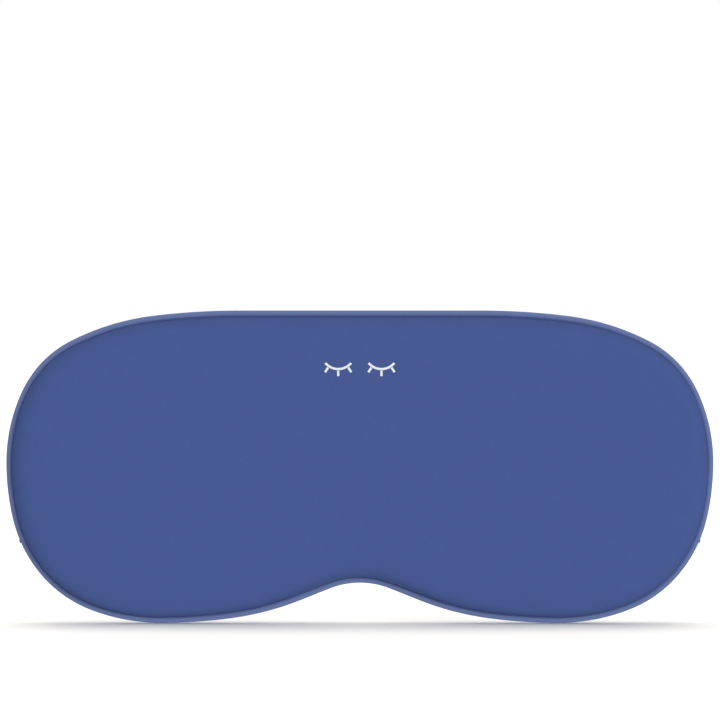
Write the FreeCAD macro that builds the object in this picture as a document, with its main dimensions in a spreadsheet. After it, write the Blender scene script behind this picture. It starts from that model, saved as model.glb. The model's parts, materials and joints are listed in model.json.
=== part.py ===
import FreeCAD, Part
import math
import os
import Sketcher
from FreeCAD import Placement, Rotation, Vector

# Contoured eye pillow: a padded, piped pad with a nose notch and a wide two-part elastic strap
# that folds flat behind it. Millimetres. X runs across the face, Z is up, and the front looks
# towards -Y. The origin is the middle of the back, where the pad meets the face.

# name, value, meaning
SIZES = [
    ("pad_width", 220, "across the widest points, over the piping"),
    ("pad_height", 97.2, "lobes to top edge, over the piping"),
    ("top_flat", 75, "straight stretch of the top edge"),
    ("widest_up", 1.4, "height of the widest points above mid height"),
    ("shoulder_out", 0.8186, "upper corner point, share of half the width"),
    ("shoulder_up", 0.8041, "upper corner point, share of half the height"),
    ("shoulder_slope", 27.2, "slope of the edge at the upper corner point, degrees"),
    ("corner_out", 0.9173, "lower corner point, share of half the width"),
    ("corner_down", 0.6466, "lower corner point, share of half the height"),
    ("corner_slope", 53.7, "slope of the edge at the lower corner point, degrees"),
    ("lobe_out", 0.5611, "lowest point of each lobe, share of half the width"),
    ("notch_depth", 12.5, "rise of the nose notch above the lobes"),
    ("flank_out", 0.1641, "steepest point of the notch, share of half the width"),
    ("flank_up", 0.579, "steepest point of the notch, share of its depth"),
    ("flank_slope", 21.9, "slope of the edge there, degrees"),
    ("front_depth", 6.5, "seam plane to the front face"),
    ("back_depth", 5.5, "seam plane to the back face"),
    ("panel_cloth", 0.8, "front and back cloth"),
    ("front_round", 4.8, "rounding of the front's edge"),
    ("back_round", 4.0, "rounding of the back's edge"),
    ("cord_radius", 0.55, "filler cord in the piping"),
    ("cover_cloth", 0.35, "cloth wrapped round the cord"),
    ("seam_width", 5.5, "seam allowance inside the piping"),
    ("panel_gap", 0.05, "piping to the panels' edge"),
    ("layer_gap", 0.3, "between the cloth's inside and the layers round the edge"),
    ("back_wadding", 2.2, "padding behind the back cloth"),
    ("blackout", 0.4, "opaque interlining"),
    ("pouch_depth", 5.0, "thickness of the inner pouch"),
    ("pouch_cloth", 0.4, "pouch sheets"),
    ("pouch_round", 1.8, "rounding of the pouch's edge"),
    ("pouch_margin", 10.0, "outline to the pouch's edge"),
    ("channel_seam", 1.2, "sewn line between two channels"),
    ("strap_width", 48, "width of the elastic"),
    ("strap_thick", 1.2, "thickness of the elastic"),
    ("strap_lift", 0.3, "back cloth to the sewn tab"),
    ("fold_inset", 5.8, "widest point to the line where the strap folds"),
    ("fold_gap", 1.0, "between layers at the side fold"),
    ("tab_length", 20, "sewn end of the strap"),
    ("middle_gap", 8.0, "middle of the pad to the fold halfway along the strap"),
    ("far_short", 6.0, "side fold to the strap's loose end"),
    ("end_round", 6.0, "corners of the loose end"),
    ("patch_length", 36, "hook patch and loop patch"),
    ("patch_margin", 4.0, "patch to the strap's edges"),
    ("hook_thick", 1.0, "hook patch"),
    ("loop_thick", 1.0, "loop patch"),
    ("patch_gap", 0.3, "loop patch to the strap layer under it"),
    ("motif_drop", 18.2, "top edge to the middle of the printed motif"),
    ("motif_pitch", 13.4, "between the two closed eyes of the motif"),
    ("eye_radius", 5.2, "curve of a closed eye"),
    ("eye_span", 100, "turn of a closed eye's curve, degrees"),
    ("lash_length", 1.7, "printed lash"),
    ("print_width", 0.7, "printed line"),
    ("print_gap", 0.15, "closed eye's curve to its lashes"),
    ("print_thick", 0.12, "thickness of the print"),
    ("label_width", 20, "care label"),
    ("label_drop", 17, "seam to the care label's lower edge"),
    ("label_thick", 0.4, "care label, two layers"),
    ("label_across", 40, "middle of the pad to the care label"),
]
CHANNELS = 8
LASHES = 3

doc = FreeCAD.newDocument("eye_pillow")
sheet = doc.addObject("Spreadsheet::Sheet", "Sizes")
for row, (alias, amount, meaning) in enumerate(SIZES, start=1):
    sheet.set(f"A{row}", meaning)
    sheet.set(f"B{row}", str(amount))
    sheet.setAlias(f"B{row}", alias)
doc.recompute()

# Expressions that several pieces share, as text for setExpression.
PIPING_RADIUS = "(Sizes.cord_radius + Sizes.cover_cloth)"
PANEL_INSET = f"(2 * {PIPING_RADIUS} + Sizes.panel_gap)"
SEAM_Y = "(-Sizes.back_depth)"
FRONT_Y = "(-Sizes.back_depth - Sizes.front_depth)"
BACK_WADDING_Y = "(-Sizes.panel_cloth - Sizes.back_wadding)"
BLACKOUT_Y = f"({BACK_WADDING_Y} - Sizes.blackout)"
POUCH_FRONT_Y = f"({BLACKOUT_Y} - Sizes.pouch_depth)"
POUCH_MIDDLE_Y = f"({BLACKOUT_Y} - Sizes.pouch_depth / 2)"
FRONT_WADDING_Y = f"({FRONT_Y} + Sizes.panel_cloth)"
FOLD_X = "(Sizes.pad_width / 2 - Sizes.fold_inset)"
NEAR_Y = "(Sizes.strap_lift + Sizes.strap_thick + Sizes.fold_gap)"
LOOP_Y = f"({NEAR_Y} + Sizes.strap_thick + Sizes.patch_gap)"
FAR_Y = f"({LOOP_Y} + Sizes.loop_thick)"
HOOK_Y = f"({FAR_Y} + Sizes.strap_thick)"
LOOSE_X = f"({FOLD_X} - Sizes.far_short)"

nodes = {}


def value(expression):
    """The number that an expression on the sheet stands for."""
    return float(sheet.evalExpression(str(expression)))


def bind(thing, bindings):
    """Binds an object's properties to the sheet."""
    for prop, expression in bindings.items():
        thing.setExpression(prop, str(expression))


def node(thing, name):
    """Keeps a finished piece under the name of its file."""
    thing.Label = name
    nodes[name] = thing
    return thing


# ---------------------------------------------------------------- outline


def outline_keys():
    """Points (x, z) and headings of the edge's right half, from the top flat to the notch."""
    half_width = value("Sizes.pad_width / 2")
    half_height = value("Sizes.pad_height / 2")
    notch = value("Sizes.notch_depth")
    return [
        (value("Sizes.top_flat / 2"), half_height, 0),
        (
            half_width * value("Sizes.shoulder_out"),
            half_height * value("Sizes.shoulder_up"),
            -value("Sizes.shoulder_slope"),
        ),
        (half_width, value("Sizes.widest_up"), -90),
        (
            half_width * value("Sizes.corner_out"),
            -half_height * value("Sizes.corner_down"),
            -180 + value("Sizes.corner_slope"),
        ),
        (half_width * value("Sizes.lobe_out"), -half_height, -180),
        (
            half_width * value("Sizes.flank_out"),
            notch * value("Sizes.flank_up") - half_height,
            -180 - value("Sizes.flank_slope"),
        ),
        (0, notch - half_height, -180),
    ]


def direction(heading):
    """Unit vector in the XZ plane, with the heading counted from +X towards +Z."""
    angle = math.radians(heading)
    return Vector(math.cos(angle), 0, math.sin(angle))


def tangent_arc(start, start_direction, end):
    """Arc that leaves start along start_direction and passes through end."""
    chord = end - start
    left = Vector(-chord.z, 0, chord.x).normalize()
    turn = math.atan2(
        start_direction.x * chord.z - start_direction.z * chord.x,
        start_direction.dot(chord),
    )
    bulge = chord.Length / 2 * math.tan(turn / 2)
    return Part.Arc(start, (start + end) / 2 - left * bulge, end).toShape()


def two_arcs(start, start_heading, end, end_heading):
    """Two arcs that meet smoothly and join two points along their headings."""
    first = direction(start_heading)
    last = direction(end_heading)
    chord = end - start
    both = first + last
    square = both.dot(both) - 4
    linear = -2 * chord.dot(both)
    root = math.sqrt(linear * linear - 4 * square * chord.dot(chord))
    reach = (-linear - root) / (2 * square)
    middle = (start + first * reach + end - last * reach) / 2
    middle_direction = (end - last * reach - start - first * reach).normalize()
    return [
        tangent_arc(start, first, middle),
        tangent_arc(middle, middle_direction, end),
    ]


def outline_wire():
    """The pad's outer edge, in the XZ plane."""
    keys = [(Vector(x, 0, z), heading) for x, z, heading in outline_keys()]
    right = []
    for (start, heading), (end, end_heading) in zip(keys, keys[1:]):
        right += two_arcs(start, heading, end, end_heading)
    left = [edge.mirror(Vector(0, 0, 0), Vector(1, 0, 0)) for edge in right]
    top_right = keys[0][0]
    top_left = Vector(-top_right.x, 0, top_right.z)
    top = Part.LineSegment(top_left, top_right).toShape()
    return Part.Wire(Part.__sortEdges__([top] + right + left))


outline = doc.addObject("Part::Feature", "Outline")
outline.Shape = outline_wire()
bind(outline, {"Placement.Base.y": SEAM_Y})


def inset_outline(name, inset):
    """The outline moved inwards, in the seam plane."""
    curve = doc.addObject("Part::Offset2D", f"{name}_outline")
    curve.Source = outline
    curve.Join = "Tangent"
    bind(curve, {"Value": f"-({inset})"})
    return curve


def slab(name, inset, y_from, y_to, round_at=None, radius=None):
    """The inset outline made solid from y_from to y_to, with one face's edge rounded."""
    block = doc.addObject("Part::Extrusion", f"{name}_block")
    block.Base = inset_outline(name, inset)
    block.DirMode = "Custom"
    block.Dir = Vector(0, 1, 0)
    block.Solid = True
    bind(block, {"LengthFwd": f"({y_to}) - {SEAM_Y}", "LengthRev": f"{SEAM_Y} - ({y_from})"})
    doc.recompute()
    if round_at is None:
        return block
    plane = value(round_at)
    rounded = doc.addObject("Part::Fillet", f"{name}_rounded")
    rounded.Base = block
    amount = value(radius)
    rounded.Edges = [
        (number, amount, amount)
        for number, edge in enumerate(block.Shape.Edges, start=1)
        if all(abs(corner.Point.y - plane) < 1e-4 for corner in edge.Vertexes)
    ]
    doc.recompute()
    return rounded


def combine(kind, name, base, tool):
    """A boolean of two objects: Part::Cut or Part::Common."""
    result = doc.addObject(kind, name)
    result.Base = base
    result.Tool = tool
    return result


def between(name, base, y_from, y_to):
    """The part of a solid that lies between two planes across Y."""
    box = doc.addObject("Part::Box", f"{name}_cutter")
    bind(
        box,
        {
            "Length": "Sizes.pad_width",
            "Height": "Sizes.pad_height",
            "Width": f"({y_to}) - ({y_from})",
            "Placement.Base.x": "-Sizes.pad_width / 2",
            "Placement.Base.y": y_from,
            "Placement.Base.z": "-Sizes.pad_height / 2",
        },
    )
    return combine("Part::Common", name, base, box)


# ---------------------------------------------------------------- cover


def front_dome(name, inward):
    """Front half of the pad, as a rounded solid a stated distance inside the front cloth's face."""
    face = f"({FRONT_Y} + {inward})"
    return slab(
        name,
        f"{PANEL_INSET} + {inward}",
        face,
        f"{SEAM_Y} - Sizes.cover_cloth",
        face,
        f"Sizes.front_round - {inward}",
    )


def back_dome(name, inward):
    """Back half of the pad, as a rounded solid a stated distance inside the back cloth's face."""
    face = f"(-{inward})"
    return slab(
        name,
        f"{PANEL_INSET} + {inward}",
        f"{SEAM_Y} + Sizes.cover_cloth",
        face,
        face,
        f"Sizes.back_round - {inward}",
    )


def panels():
    """Front and back cloth: two shallow shells, open at the seam plane."""
    for name, dome in (("front_panel", front_dome), ("back_panel", back_dome)):
        outside = dome(f"{name}_outside", "0")
        inside = dome(f"{name}_inside", "Sizes.panel_cloth")
        node(combine("Part::Cut", name, outside, inside), name)


def ring_sweep(name, radius):
    """A round bar whose outer edge is the piping's, swept round the outline."""
    path = inset_outline(f"{name}_path", PIPING_RADIUS)
    section = doc.addObject("Part::Circle", f"{name}_section")
    bind(
        section,
        {
            "Radius": radius,
            "Placement.Base.y": SEAM_Y,
            "Placement.Base.z": f"Sizes.pad_height / 2 - {PIPING_RADIUS}",
        },
    )
    section.Placement.Rotation = Rotation(Vector(0, 1, 0), 90)
    doc.recompute()
    bar = doc.addObject("Part::Sweep", name)
    bar.Sections = [section]
    bar.Spine = (path, [f"Edge{number}" for number in range(1, len(path.Shape.Edges) + 1)])
    bar.Solid = True
    return bar


def piping():
    """Filler cord, and the cloth round it with its flat seam allowance."""
    node(ring_sweep("piping_cord", "Sizes.cord_radius"), "piping_cord")
    tube = ring_sweep("piping_tube", PIPING_RADIUS)
    bore = ring_sweep("piping_bore", "Sizes.cord_radius")
    cloth = "Sizes.cover_cloth"
    plate = slab("flange", PIPING_RADIUS, f"{SEAM_Y} - {cloth}", f"{SEAM_Y} + {cloth}")
    window = slab(
        "flange_window",
        f"{PANEL_INSET} + Sizes.seam_width",
        f"{SEAM_Y} - 2 * {cloth}",
        f"{SEAM_Y} + 2 * {cloth}",
    )
    flange = combine("Part::Cut", "flange", plate, window)
    solid = combine("Part::Fuse", "piping_solid", tube, flange)
    node(combine("Part::Cut", "piping_cover", solid, bore), "piping_cover")


# ---------------------------------------------------------------- filling


def padding():
    """Padding sheets and the opaque interlining, shaped to the inside of the cloth."""
    inward = "(Sizes.panel_cloth + Sizes.layer_gap)"
    front = front_dome("front_wadding_shape", inward)
    node(between("front_wadding", front, FRONT_WADDING_Y, POUCH_FRONT_Y), "front_wadding")
    back = back_dome("back_wadding_shape", inward)
    node(between("back_wadding", back, BACK_WADDING_Y, "-Sizes.panel_cloth"), "back_wadding")
    middle = back_dome("blackout_shape", inward)
    node(between("blackout_layer", middle, BLACKOUT_Y, BACK_WADDING_Y), "blackout_layer")


def pouch_half(name, inward, front):
    """Front or back half of the pouch, a stated distance inside its outer face."""
    face = f"({POUCH_FRONT_Y} + {inward})" if front else f"({BLACKOUT_Y} - {inward})"
    near, far = (face, POUCH_MIDDLE_Y) if front else (POUCH_MIDDLE_Y, face)
    inset = f"Sizes.pouch_margin + {inward}"
    return slab(name, inset, near, far, face, f"Sizes.pouch_round - {inward}")


def pouch():
    """Two sheets that meet at mid depth, and the beads in each sewn channel."""
    cloth = "Sizes.pouch_cloth"
    insides = []
    for name, front in (("pouch_front_sheet", True), ("pouch_back_sheet", False)):
        outside = pouch_half(f"{name}_outside", "0", front)
        inside = pouch_half(f"{name}_inside", cloth, front)
        insides.append(inside)
        node(combine("Part::Cut", name, outside, inside), name)
    cavity = combine("Part::Fuse", "pouch_cavity", *insides)
    width = f"(Sizes.pad_width - 2 * Sizes.pouch_margin - 2 * {cloth})"
    for number in range(1, CHANNELS + 1):
        name = f"bead_fill_{number}"
        lane = doc.addObject("Part::Box", f"{name}_lane")
        pitch = f"{width} / {CHANNELS}"
        bind(
            lane,
            {
                "Length": f"{pitch} - Sizes.channel_seam",
                "Width": "Sizes.pouch_depth",
                "Height": "Sizes.pad_height",
                "Placement.Base.x": f"-{width} / 2 + {number - 1} * {pitch} + Sizes.channel_seam / 2",
                "Placement.Base.y": POUCH_FRONT_Y,
                "Placement.Base.z": "-Sizes.pad_height / 2",
            },
        )
        node(combine("Part::Common", name, cavity, lane), name)


# ---------------------------------------------------------------- strap, label and print


def xz_plane(body):
    """The body's own XZ plane."""
    return next(f for f in body.Origin.OriginFeatures if f.Role == "XZ_Plane")


def strip(name, x_from, x_to, z_from, z_to, y_from, thick, rounded=()):
    """A flat rectangular piece in the XZ plane; rounded names the x of corners to round."""
    body = doc.addObject("PartDesign::Body", name)
    sketch = body.newObject("Sketcher::SketchObject", f"{name}_sketch")
    sketch.AttachmentSupport = (xz_plane(body), "")
    sketch.MapMode = "FlatFace"
    corners = [Vector(0, 0, 0), Vector(1, 0, 0), Vector(1, 1, 0), Vector(0, 1, 0)]
    for start, end in zip(corners, corners[1:] + corners[:1]):
        sketch.addGeometry(Part.LineSegment(start, end), False)
    for line in range(4):
        sketch.addConstraint(Sketcher.Constraint("Coincident", line, 2, (line + 1) % 4, 1))
    for line, way in enumerate(("Horizontal", "Vertical", "Horizontal", "Vertical")):
        sketch.addConstraint(Sketcher.Constraint(way, line))
    sizes = [
        ("x_from", "DistanceX", 0, x_from),
        ("z_from", "DistanceY", 0, z_from),
        ("x_to", "DistanceX", 2, x_to),
        ("z_to", "DistanceY", 2, z_to),
    ]
    for label, kind, line, expression in sizes:
        index = sketch.addConstraint(Sketcher.Constraint(kind, line, 1, value(expression)))
        sketch.renameConstraint(index, label)
        sketch.setExpression(f"Constraints.{label}", str(expression))
    pad = body.newObject("PartDesign::Pad", f"{name}_pad")
    pad.Profile = sketch
    pad.Reversed = True
    bind(pad, {"Length": thick})
    bind(body, {"Placement.Base.y": y_from})
    doc.recompute()
    if rounded:
        round_corners(body, pad, rounded)
    return node(body, name)


def round_corners(body, pad, rounded):
    """Rounds the strip's corners at the stated x."""
    places = [value(x) for x in rounded]
    fillet = body.newObject("PartDesign::Fillet", f"{pad.Name}_corners")
    names = []
    for number, edge in enumerate(pad.Shape.Edges, start=1):
        box = edge.BoundBox
        across = box.XLength < 1e-6 and box.ZLength < 1e-6
        if across and min(abs(box.XMin - place) for place in places) < 1e-4:
            names.append(f"Edge{number}")
    fillet.Base = (pad, names)
    bind(fillet, {"Radius": "Sizes.end_round"})
    doc.recompute()


def span(side, inner, outer):
    """From and to along X for a piece on one side, from its inner and outer distances."""
    return (inner, outer) if side == "right" else (f"-{outer}", f"-{inner}")


def strap(side):
    """Sewn tab, near length and far length of one strap half, folded flat behind the pad."""
    low, high = "-Sizes.strap_width / 2", "Sizes.strap_width / 2"
    tab = span(side, f"({FOLD_X} - Sizes.tab_length)", FOLD_X)
    near = span(side, "Sizes.middle_gap", FOLD_X)
    far = span(side, "Sizes.middle_gap", LOOSE_X)
    loose_end = far[1] if side == "right" else far[0]
    strip(f"{side}_strap_tab", *tab, low, high, "Sizes.strap_lift", "Sizes.strap_thick")
    strip(f"{side}_strap_near", *near, low, high, NEAR_Y, "Sizes.strap_thick")
    strip(f"{side}_strap_far", *far, low, high, FAR_Y, "Sizes.strap_thick", [loose_end])


def closure():
    """Loop patch on the left half's outer face, hook patch on the right half's inner face."""
    low = "-(Sizes.strap_width / 2 - Sizes.patch_margin)"
    high = "Sizes.strap_width / 2 - Sizes.patch_margin"
    outer = f"({LOOSE_X} - Sizes.patch_margin)"
    inner = f"({outer} - Sizes.patch_length)"
    strip("loop_patch", *span("left", inner, outer), low, high, LOOP_Y, "Sizes.loop_thick")
    strip("hook_patch", *span("right", inner, outer), low, high, HOOK_Y, "Sizes.hook_thick")


def care_label():
    """Blank folded label that hangs from the top seam over the back."""
    strip(
        "care_label",
        "-Sizes.label_across - Sizes.label_width / 2",
        "-Sizes.label_across + Sizes.label_width / 2",
        "Sizes.pad_height / 2 - Sizes.label_drop - Sizes.back_round",
        f"Sizes.pad_height / 2 - {PANEL_INSET} - Sizes.back_round",
        "0",
        "Sizes.label_thick",
    )


def closed_eye(middle_x, middle_z, face_y):
    """Solids of one closed eye: a curved lid with a few lashes below it."""
    radius = value("Sizes.eye_radius")
    line = value("Sizes.print_width")
    thick = value("Sizes.print_thick")
    turn = value("Sizes.eye_span")
    centre = Vector(middle_x, face_y, middle_z + radius)
    outer = Part.makeCylinder(radius + line / 2, thick, centre, Vector(0, -1, 0))
    inner = Part.makeCylinder(radius - line / 2, thick, centre, Vector(0, -1, 0))
    reach = 2 * radius
    side_angle = math.radians(turn / 2)
    corner = Vector(math.sin(side_angle), 0, -math.cos(side_angle)) * reach
    mirrored = Vector(-corner.x, 0, corner.z)
    low = Vector(0, 0, -reach)
    fan = [centre, centre + corner, centre + corner + low, centre + mirrored + low, centre + mirrored]
    wedge = Part.Face(Part.makePolygon(fan + [centre])).extrude(Vector(0, -thick, 0))
    lid = outer.cut(inner).common(wedge)
    pieces = list(lid.Solids)
    length = value("Sizes.lash_length")
    lash_start = radius + line / 2 + value("Sizes.print_gap")
    for number in range(LASHES):
        angle = turn * ((number + 0.5) / LASHES - 0.5)
        lash = Part.makeBox(line, thick, length, Vector(-line / 2, -thick, -length))
        lash.translate(Vector(0, 0, -lash_start))
        lash.rotate(Vector(0, 0, 0), Vector(0, 1, 0), -angle)
        lash.translate(centre)
        pieces.append(lash)
    return pieces


def motif():
    """Two closed eyes printed on the front."""
    pieces = []
    height = value("Sizes.pad_height / 2 - Sizes.motif_drop")
    for side in (-1, 1):
        pieces += closed_eye(side * value("Sizes.motif_pitch / 2"), height, value(FRONT_Y))
    print_ = doc.addObject("Part::Feature", "front_motif")
    print_.Shape = Part.makeCompound(pieces)
    node(print_, "front_motif")


panels()
piping()
padding()
pouch()
for hand in ("left", "right"):
    strap(hand)
closure()
care_label()
motif()
doc.recompute()

# ---------------------------------------------------------------- checks and files

for thing in doc.Objects:
    if "Invalid" in thing.State or "Error" in thing.State:
        raise RuntimeError(f"{thing.Label} failed: {thing.State}")
for name, thing in nodes.items():
    if thing.Shape.isNull() or not thing.Shape.isValid() or not thing.Shape.Solids:
        raise RuntimeError(f"{name} has no valid solid")

os.makedirs("parts", exist_ok=True)
for name, thing in nodes.items():
    thing.Shape.exportStep(f"parts/{name}.step")
    box = thing.Shape.optimalBoundingBox(False)
    print(
        f"{name:20s} {len(thing.Shape.Solids):2d} solids {thing.Shape.Volume:10.1f} mm3"
        f"  x {box.XMin:7.1f} {box.XMax:7.1f}  y {box.YMin:6.2f} {box.YMax:6.2f}"
        f"  z {box.ZMin:6.1f} {box.ZMax:6.1f}"
    )
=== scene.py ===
"""A padded eye pillow with piped edges and a folded two-part elastic strap."""

import json
import math

import bmesh
import bpy
import numpy as np
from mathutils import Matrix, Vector
from mathutils.bvhtree import BVHTree
from mathutils.kdtree import KDTree


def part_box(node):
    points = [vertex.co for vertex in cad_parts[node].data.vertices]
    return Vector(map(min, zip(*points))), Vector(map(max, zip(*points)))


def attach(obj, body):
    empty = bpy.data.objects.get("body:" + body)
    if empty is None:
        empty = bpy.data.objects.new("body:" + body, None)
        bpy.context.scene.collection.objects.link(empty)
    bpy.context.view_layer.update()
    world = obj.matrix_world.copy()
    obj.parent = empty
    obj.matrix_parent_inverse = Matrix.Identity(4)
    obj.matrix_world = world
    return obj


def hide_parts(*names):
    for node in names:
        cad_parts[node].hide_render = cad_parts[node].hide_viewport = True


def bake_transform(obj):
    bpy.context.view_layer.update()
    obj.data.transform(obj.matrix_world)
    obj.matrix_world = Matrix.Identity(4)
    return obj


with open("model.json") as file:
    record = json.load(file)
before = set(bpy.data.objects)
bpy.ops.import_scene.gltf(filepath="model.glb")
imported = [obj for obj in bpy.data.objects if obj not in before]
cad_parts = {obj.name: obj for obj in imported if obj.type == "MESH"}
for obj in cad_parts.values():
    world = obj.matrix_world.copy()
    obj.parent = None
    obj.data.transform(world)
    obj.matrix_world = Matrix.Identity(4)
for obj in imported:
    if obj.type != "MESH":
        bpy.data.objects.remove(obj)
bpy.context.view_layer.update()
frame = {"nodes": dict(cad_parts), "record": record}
MM = 0.001

# ----- sizes, in millimetres unless named


def millimetre_box(node):
    return [np.array(corner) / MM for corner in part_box(node)]


PAD_LOW, PAD_HIGH = millimetre_box("piping_cover")
FRONT_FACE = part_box("front_panel")[0][1] / MM
BACK_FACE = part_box("back_panel")[1][1] / MM
SEAM_Y = (PAD_LOW[1] + PAD_HIGH[1]) / 2
PIPING_RADIUS = (PAD_HIGH[1] - PAD_LOW[1]) / 2
PIPING_HALF_WIDTH = 1.1 * PIPING_RADIUS  # pressed a little flat by the seam
HALF_WIDTH = (PAD_HIGH[0] - PAD_LOW[0]) / 2
HALF_HEIGHT = (PAD_HIGH[2] - PAD_LOW[2]) / 2
PANEL_INSET = 1.85  # outer edge to where the panels meet the piping
SEAM_CLOTH = 0.35  # half of the piping's seam allowance between the panels
PANEL_CLOTH = 0.8
TOP_FLAT = 37.5
NOTCH_DEPTH = 12.5
UPPER_CORNER, UPPER_SLOPE = (0.8186, 0.8041), 27.2  # shares of half the width and height, and degrees
WIDEST_UP = 1.4
LOWER_CORNER, LOWER_SLOPE = (0.9173, 0.6466), 53.7
LOBE_OUT = 0.5611
FLANK, FLANK_SLOPE = (0.1641, 0.579), 21.9  # the steepest place of the notch, a share of its depth up
AROUND = 240  # points round the pad's edge
LONG_SIDE = 84  # of them along the top, and as many along the bottom
COVER_PITCH = 0.00042  # between the cover's threads, in metres
MOTTLE_SIZE = 0.0016  # the unevenness of woven cloth, in metres
COVER_TINT = (1.08, 1.09, 1.10)  # of the record's colour, for this light
PIPING_TINT = (1.22, 1.24, 1.22)
PRINT_TINT = (1.02, 1.08, 1.08)

# ----- outline


def heading_vector(degrees):
    angle = math.radians(degrees)
    return np.array([math.cos(angle), math.sin(angle)])


def arc_points(start, heading, end, steps=60):
    """Points on the arc that leaves start along a heading and ends at end, without its start."""
    chord = end - start
    along = heading_vector(heading)
    turn = math.atan2(along[0] * chord[1] - along[1] * chord[0], along @ chord)
    length = math.hypot(*chord)
    points = []
    for step in range(1, steps + 1):
        part = step / steps
        reach = length * (math.sin(part * turn) / math.sin(turn) if abs(turn) > 1e-6 else part)
        way = heading_vector(heading + math.degrees(part * turn))
        points.append(start + reach * way)
    return points, heading + 2 * math.degrees(turn)


def outline():
    """Points (x, z) clockwise round the pad's edge from the top's middle."""
    w, h = HALF_WIDTH, HALF_HEIGHT
    keys = [
        ((TOP_FLAT, h), 0),
        ((UPPER_CORNER[0] * w, UPPER_CORNER[1] * h), -UPPER_SLOPE),
        ((w, WIDEST_UP), -90),
        ((LOWER_CORNER[0] * w, -LOWER_CORNER[1] * h), -180 + LOWER_SLOPE),
        ((LOBE_OUT * w, -h), -180),
        ((FLANK[0] * w, FLANK[1] * NOTCH_DEPTH - h), -180 - FLANK_SLOPE),
        ((0, NOTCH_DEPTH - h), -180),
    ]
    keys = [(np.array(point, float), heading) for point, heading in keys]
    half = [np.array([TOP_FLAT * step / 40, h]) for step in range(41)]
    for (start, heading), (end, end_heading) in zip(keys, keys[1:]):
        first, last, chord = heading_vector(heading), heading_vector(end_heading), end - start
        both = first + last
        square, linear = both @ both - 4, -2 * chord @ both
        reach = (-linear - math.sqrt(linear**2 - 4 * square * chord @ chord)) / (2 * square)
        middle = (start + first * reach + end - last * reach) / 2
        points, turned = arc_points(start, heading, middle)
        half += points
        half += arc_points(middle, turned, end)[0]
    half = np.array(half)
    ring = np.vstack([half, (half * [-1, 1])[-2:0:-1]])
    return ring


def resampled(ring, count):
    """A closed line with count evenly spaced points, and its inward normals."""
    closed = np.vstack([ring, ring[:1]])
    steps = np.linalg.norm(np.diff(closed, axis=0), axis=1)
    run = np.concatenate([[0], np.cumsum(steps)])
    places = np.arange(count) * run[-1] / count
    points = np.stack([np.interp(places, run, closed[:, axis]) for axis in (0, 1)], axis=1)
    tangent = np.roll(points, -1, axis=0) - np.roll(points, 1, axis=0)
    tangent /= np.linalg.norm(tangent, axis=1)[:, None]
    return points, np.stack([tangent[:, 1], -tangent[:, 0]], axis=1), run[-1]


EDGE_LINE = outline()
edge_tree = KDTree(3000)
for place, (x, z) in enumerate(resampled(EDGE_LINE, 3000)[0]):
    edge_tree.insert((x, 0, z), place)
edge_tree.balance()


def from_edge(x, z):
    """Distance from the pad's outer edge."""
    return edge_tree.find((x, 0, z))[2]


def smooth(low, high, value):
    part = np.clip((value - low) / (high - low), 0, 1)
    return part * part * (3 - 2 * part)


# ----- mesh helpers


def new_object(name, data):
    thing = bpy.data.objects.new(name, data)
    bpy.context.scene.collection.objects.link(thing)
    return thing


def dress(thing, finish):
    """Gives an object one finish in place of any that it has."""
    thing.data.materials.clear()
    thing.data.materials.append(finish)


def band(low, high, count):
    """Squares between two closed rings of count points, which start at low and at high."""
    steps = [(step, (step + 1) % count) for step in range(count)]
    return [(low + step, low + after, high + after, high + step) for step, after in steps]


def uv_square(u0, u1, v0, v1):
    return [(u * MM, v * MM) for u, v in ((u0, v0), (u0, v1), (u1, v1), (u1, v0))]


def mesh_object(name, points, faces, uv=None):
    """A piece from points in millimetres, with smooth shading."""
    mesh = bpy.data.meshes.new(name)
    mesh.from_pydata([tuple(p) for p in np.asarray(points, float) * MM], [], faces)
    if uv is not None:
        layer = mesh.uv_layers.new(name="UVMap")
        for loop, place in zip(layer.data, (p for face in uv for p in face)):
            loop.uv = place
    mesh.validate()
    mesh.shade_smooth()
    return new_object(name, mesh)


def outward(piece):
    """Turns a closed piece's faces outwards."""
    work = bmesh.new()
    work.from_mesh(piece.data)
    bmesh.ops.recalc_face_normals(work, faces=work.faces)
    work.to_mesh(piece.data)
    work.free()
    return piece


def finished(piece, sharp=None):
    """Bakes a piece's modifiers into its mesh."""
    bpy.context.view_layer.update()
    graph = bpy.context.evaluated_depsgraph_get()
    mesh = bpy.data.meshes.new_from_object(piece.evaluated_get(graph), depsgraph=graph)
    piece.modifiers.clear()
    piece.data = mesh
    mesh.name = piece.name
    mesh.shade_smooth()
    if sharp is not None:
        mesh.set_sharp_from_angle(angle=math.radians(sharp))
    return piece


def subdivide(piece, levels=1):
    modifier = piece.modifiers.new("Subdivision", "SUBSURF")
    modifier.levels = modifier.render_levels = levels
    modifier.uv_smooth = "PRESERVE_BOUNDARIES"


# ----- padded panels

ROUND_STEPS = (0, 7, 15, 24, 34, 45, 57, 69, 80, 90)
FACE_STEPS = (1.4, 3.0, 5.2)
SQUARENESS = 2.6
END_ROUNDING = 0.5  # the rounded edge is nearer to a circle at the pad's ends
SHOULDER, MEETING = 1.8, 0.5  # where a panel leaves the piping: inset, and distance off the seam plane
SIDE_BULGE = 0.2  # how far the front swells over the piping at the pad's ends
FRONT_SWELL, BACK_SWELL = 0.45, 0.3  # the most that the filling pushes each face out
FRONT_ROUND, BACK_ROUND = 5.1, 4.3  # reach of each panel's rounded edge
FILL_PRESSURE, FILL_FRAMES = 4, 20


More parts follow.
